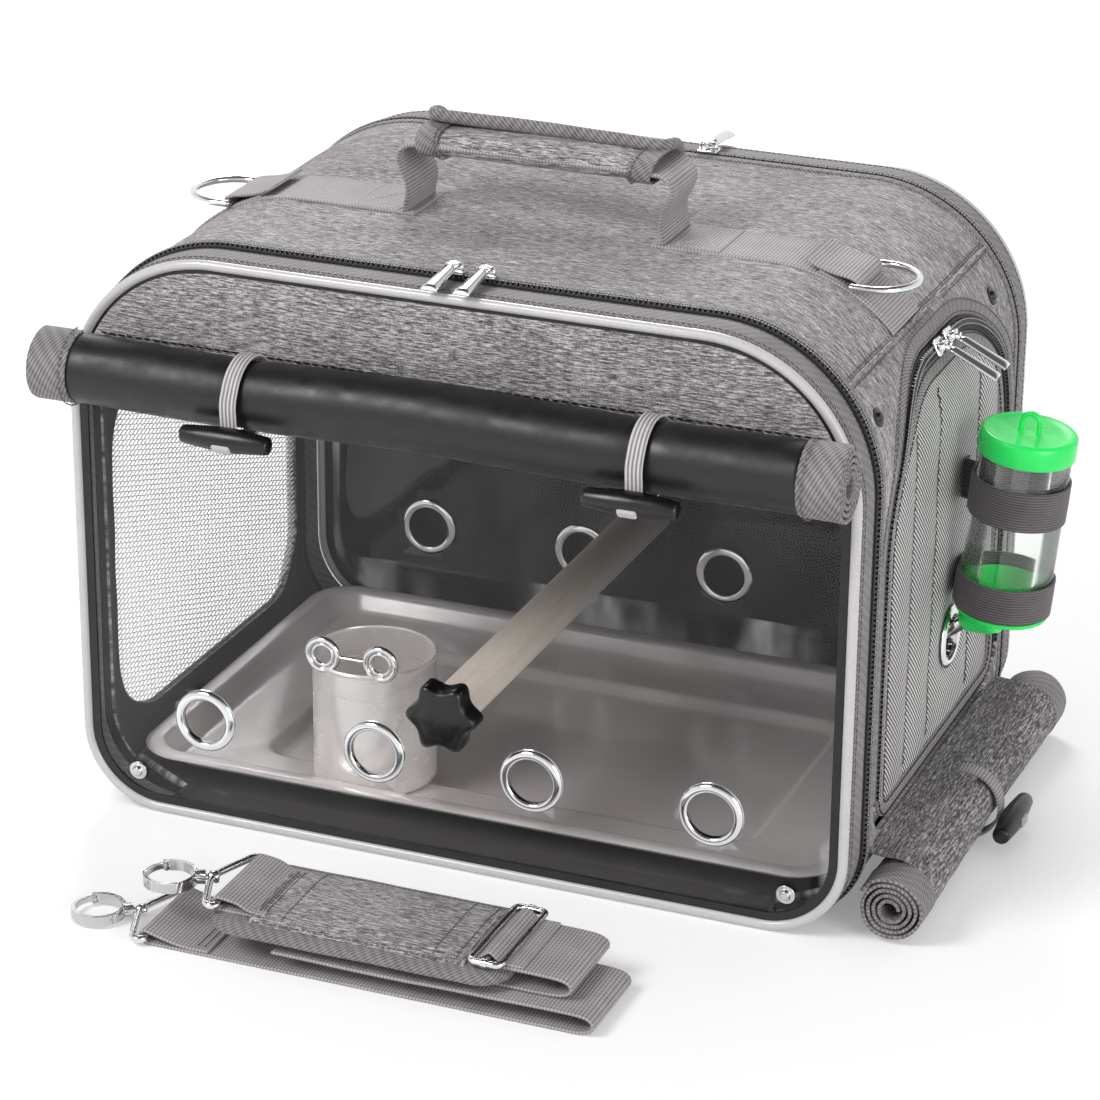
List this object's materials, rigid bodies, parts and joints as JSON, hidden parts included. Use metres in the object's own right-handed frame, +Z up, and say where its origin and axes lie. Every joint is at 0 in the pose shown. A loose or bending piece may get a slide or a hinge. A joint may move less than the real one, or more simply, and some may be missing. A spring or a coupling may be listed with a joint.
{
  "type": "soft-sided bird travel carrier",
  "caption": "Soft zipped carrier for a small pet bird with clear front and back doors, net window, side door with drinking bottle, perch, feed cup, steel tray, rolled shades and strap",
  "frame": {"origin": "on the floor, under the middle of the bag's base", "axes": "-Y to the clear front door, +X to the drinking bottle, +Z up"},
  "size_m": [0.4603, 0.4228, 0.3426],
  "materials": {
    "heather_cloth": "woven melange grey",
    "lining": "dark brown-grey lining",
    "net": "open net",
    "zip_chain": "black coil zip",
    "webbing": "woven webbing",
    "tape": "herringbone tape",
    "piping": "silver piping",
    "clear_film": "clear sheet",
    "chrome": "bright plating",
    "satin_metal": "satin plating",
    "steel": "stainless sheet",
    "perch_wood": "bare pale wood",
    "black_plastic": "moulded",
    "shade_cloth": "black coated cloth",
    "green_plastic": "bright green",
    "bottle_plastic": "clear",
    "pad_cloth": "padded cloth"
  },
  "bodies": {
    "bag": {"top_panel": "heather_cloth", "left_wall": "lining", "left_mesh": "net", "right_wall": "heather_cloth", "base_panel": "lining", "front_zip": "zip_chain", "back_zip": "zip_chain", "side_zip": "zip_chain", "side_studs": "black_plastic", "top_webbing": "webbing", "perch": "perch_wood", "side_shade_roll": "heather_cloth", "side_shade_tie": "webbing", "side_toggle": "black_plastic"},
    "ring_left": {"d_ring_left": "chrome"},
    "ring_right": {"d_ring_right": "chrome"},
    "leg_left": {"handle_leg_left": "webbing"},
    "grip": {"handle_grip": "pad_cloth"},
    "leg_right": {"handle_leg_right": "webbing"},
    "front_door": {"front_hoop": "piping", "front_binding": "tape", "front_window": "clear_film", "front_eyelets": "chrome", "front_header": "heather_cloth", "front_shade_roll": "shade_cloth", "front_shade_ties": "webbing", "front_toggles": "black_plastic", "front_studs": "satin_metal"},
    "knob_front": {"perch_knob_front": "black_plastic"},
    "back_door": {"back_frame": "tape", "back_window": "clear_film", "back_eyelets": "chrome", "back_shade": "heather_cloth"},
    "knob_back": {"perch_knob_back": "black_plastic"},
    "side_door": {"side_door_panel": "heather_cloth", "side_eyelet": "chrome", "bottle_bands": "tape", "bottle_body": "bottle_plastic", "bottle_spout": "green_plastic"},
    "cap": {"bottle_cap": "green_plastic"},
    "tray": {"tray": "steel"},
    "cup": {"feed_cup": "steel"},
    "front_slider_l": {"front_slider_left": "chrome"},
    "front_slider_r": {"front_slider_right": "chrome"},
    "front_pull_l": {"front_pull_left": "chrome"},
    "front_pull_r": {"front_pull_right": "chrome"},
    "side_slider_f": {"side_slider_front": "chrome"},
    "side_slider_b": {"side_slider_back": "chrome"},
    "side_pull_f": {"side_pull_front": "chrome"},
    "side_pull_b": {"side_pull_back": "chrome"},
    "back_slider": {"back_slider": "chrome"},
    "back_pull": {"back_pull": "chrome"},
    "strap": {"strap_webbing": "webbing", "shoulder_pad": "pad_cloth", "strap_rings": "satin_metal"},
    "slide": {"strap_slide": "satin_metal"},
    "hook_a": {"strap_hook_a": "satin_metal"},
    "hook_b": {"strap_hook_b": "satin_metal"},
    "gate_a": {"hook_gate_a": "satin_metal"},
    "gate_b": {"hook_gate_b": "satin_metal"}
  },
  "joints": [
    {"name": "front_door_hinge", "type": "hinge", "parent": "bag", "child": "front_door", "pos_m": [0, -0.136, 0.003], "axis": [1, 0, 0], "range_deg": [0, 45]},
    {"name": "front_knob_turn", "type": "hinge", "parent": "front_door", "child": "knob_front", "pos_m": [0, -0.136, 0.086], "axis": [0, 1, 0], "continuous": true},
    {"name": "back_door_hinge", "type": "hinge", "parent": "bag", "child": "back_door", "pos_m": [0, 0.136, 0.003], "axis": [-1, 0, 0], "range_deg": [0, 50]},
    {"name": "back_knob_turn", "type": "hinge", "parent": "back_door", "child": "knob_back", "pos_m": [0, 0.136, 0.086], "axis": [0, 1, 0], "continuous": true},
    {"name": "side_door_hinge", "type": "hinge", "parent": "bag", "child": "side_door", "pos_m": [0.2, 0, 0.042], "axis": [0, 1, 0], "range_deg": [0, 60]},
    {"name": "bottle_cap_turn", "type": "hinge", "parent": "side_door", "child": "cap", "pos_m": [0.2261, 0.014, 0.117], "axis": [0.0958, 0, 0.9954], "continuous": true},
    {"name": "handle_leg_left_hinge", "type": "hinge", "parent": "bag", "child": "leg_left", "pos_m": [-0.067, -0.022, 0.2971], "axis": [0, 1, 0], "range_deg": [-60, 60]},
    {"name": "handle_grip_hinge", "type": "hinge", "parent": "leg_left", "child": "grip", "pos_m": [-0.067, -0.022, 0.3271], "axis": [0, 1, 0], "range_deg": [-60, 60]},
    {"name": "handle_leg_right_hinge", "type": "hinge", "parent": "bag", "child": "leg_right", "pos_m": [0.067, -0.022, 0.2971], "axis": [0, 1, 0], "range_deg": [-60, 60]},
    {"name": "ring_left_hinge", "type": "hinge", "parent": "bag", "child": "ring_left", "pos_m": [-0.1609, -0.022, 0.28915], "axis": [0, 1, 0], "range_deg": [-36, 104]},
    {"name": "ring_right_hinge", "type": "hinge", "parent": "bag", "child": "ring_right", "pos_m": [0.1609, -0.022, 0.28915], "axis": [0, -1, 0], "range_deg": [-36, 104]},
    {"name": "tray_lift", "type": "slide", "parent": "bag", "child": "tray", "axis": [0, 0, 1], "range_m": [0, 0.03]},
    {"name": "cup_lift", "type": "slide", "parent": "tray", "child": "cup", "axis": [0, 0, 1], "range_m": [0, 0.04]},
    {"name": "front_slider_left_slide", "type": "slide", "parent": "bag", "child": "front_slider_l", "axis": [-1, 0, 0], "range_m": [0, 0.1]},
    {"name": "front_slider_right_slide", "type": "slide", "parent": "bag", "child": "front_slider_r", "axis": [1, 0, 0], "range_m": [0, 0.1]},
    {"name": "front_pull_left_swing", "type": "hinge", "parent": "front_slider_l", "child": "front_pull_l", "pos_m": [-0.008, -0.114, 0.3003], "axis": [-1, 0, 0], "range_deg": [0, 150]},
    {"name": "front_pull_right_swing", "type": "hinge", "parent": "front_slider_r", "child": "front_pull_r", "pos_m": [0.008, -0.114, 0.3003], "axis": [-1, 0, 0], "range_deg": [0, 150]},
    {"name": "side_slider_front_slide", "type": "slide", "parent": "side_door", "child": "side_slider_f", "axis": [0, -1, 0], "range_m": [0, 0.007]},
    {"name": "side_slider_back_slide", "type": "slide", "parent": "side_door", "child": "side_slider_b", "axis": [0, 1, 0], "range_m": [0, 0.007]},
    {"name": "side_pull_front_swing", "type": "hinge", "parent": "side_slider_f", "child": "side_pull_f", "pos_m": [0.19678, -0.006, 0.25491], "axis": [0, -1, 0], "range_deg": [-50, 100]},
    {"name": "side_pull_back_swing", "type": "hinge", "parent": "side_slider_b", "child": "side_pull_b", "pos_m": [0.19678, 0.01, 0.25491], "axis": [0, -1, 0], "range_deg": [-50, 100]},
    {"name": "back_slider_slide", "type": "slide", "parent": "bag", "child": "back_slider", "axis": [1, 0, 0], "range_m": [-0.14, 0.08]},
    {"name": "back_pull_swing", "type": "hinge", "parent": "back_slider", "child": "back_pull", "pos_m": [0.034, 0.114, 0.3003], "axis": [1, 0, 0], "range_deg": [0, 150]},
    {"name": "strap_pull_away", "type": "slide", "parent": "bag", "child": "strap", "axis": [0, -1, 0], "range_m": [0, 0.15]},
    {"name": "strap_slide_shift", "type": "slide", "parent": "strap", "child": "slide", "axis": [1, 0, 0], "range_m": [0, 0.012]},
    {"name": "hook_a_swivel", "type": "hinge", "parent": "strap", "child": "hook_a", "pos_m": [-0.115, -0.239, 0.004], "axis": [-0.9272, -0.3746, 0], "continuous": true},
    {"name": "hook_a_gate", "type": "hinge", "parent": "hook_a", "child": "gate_a", "pos_m": [-0.14123, -0.2371, 0.004], "axis": [0, 0, 1], "range_deg": [0, 25], "stiffness_Nm_per_rad": 0.01, "springref_deg": -11.46},
    {"name": "hook_b_swivel", "type": "hinge", "parent": "strap", "child": "hook_b", "pos_m": [-0.081, -0.23, 0.0241], "axis": [-0.9272, -0.3746, 0], "continuous": true},
    {"name": "hook_b_gate", "type": "hinge", "parent": "hook_b", "child": "gate_b", "pos_m": [-0.10723, -0.2281, 0.0241], "axis": [0, 0, 1], "range_deg": [0, 25], "stiffness_Nm_per_rad": 0.01, "springref_deg": -11.46}
  ],
  "couplings": [
    {"joint": "handle_grip_hinge", "follows": "handle_leg_left_hinge", "ratio": -1},
    {"joint": "handle_leg_right_hinge", "follows": "handle_leg_left_hinge", "ratio": 1}
  ]
}
